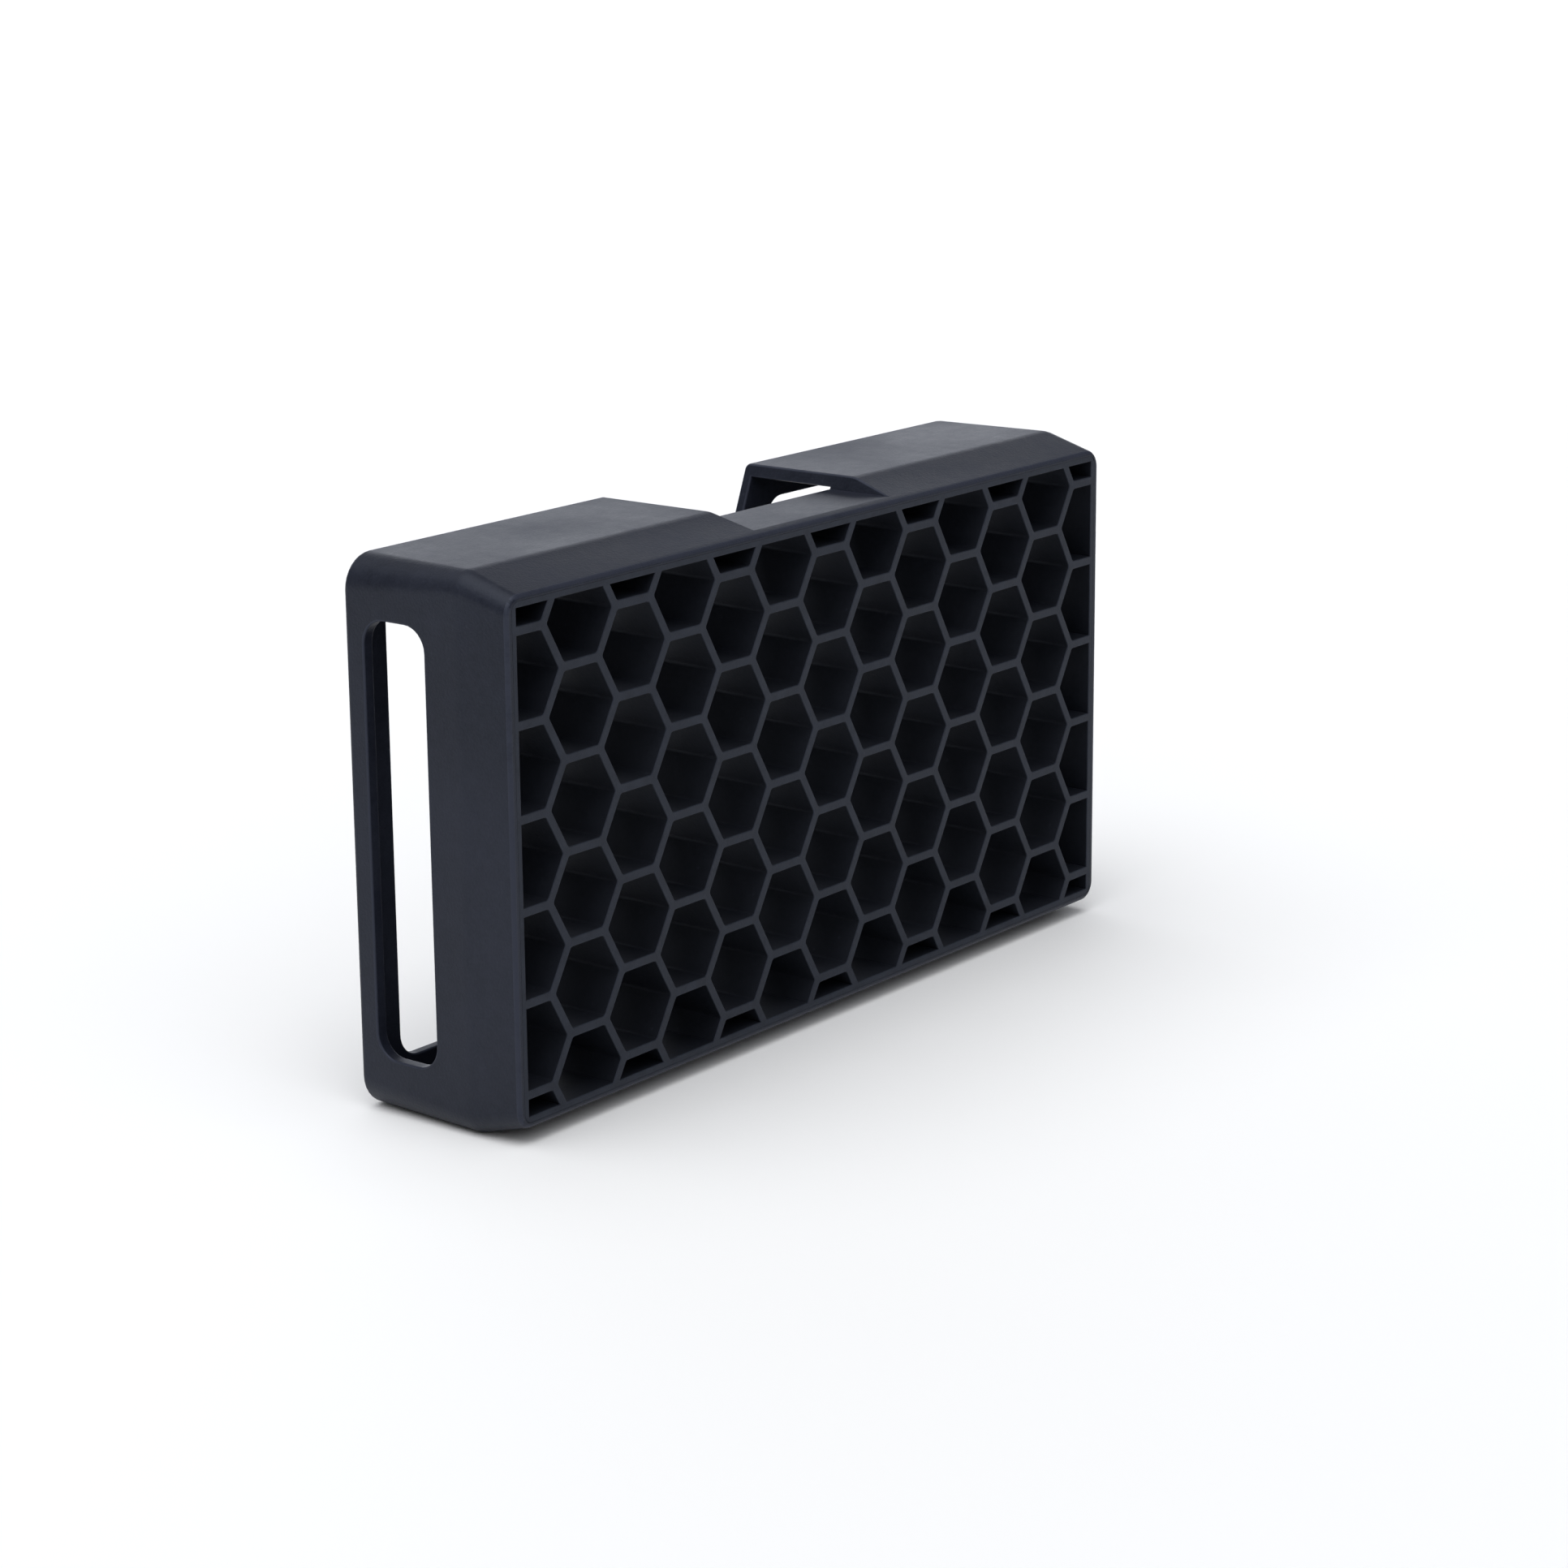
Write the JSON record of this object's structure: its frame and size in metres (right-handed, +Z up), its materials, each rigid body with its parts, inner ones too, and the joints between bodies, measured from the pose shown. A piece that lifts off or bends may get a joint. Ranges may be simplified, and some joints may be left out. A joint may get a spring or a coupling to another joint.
{
  "type": "slip-on honeycomb grid",
  "caption": "Soft rectangular sleeve with a tapered nose that slips over a flat pocket light and holds a honeycomb core in front of it, to narrow the beam.",
  "frame": {"origin": "under the middle of the object, on the long face that it stands on", "axes": "+X along the length, +Y from the honeycomb towards the open back, +Z up"},
  "size_m": [0.18, 0.037, 0.1],
  "materials": {
    "sleeve": "soft moulded silicone rubber, matt, near-black charcoal with a slight blue cast",
    "core": "moulded plastic, matt, near-black charcoal, darker inside the cells than on the front edges of the walls"
  },
  "bodies": {
    "root": {"sleeve": "sleeve", "honeycomb_core": "core"}
  },
  "joints": []
}
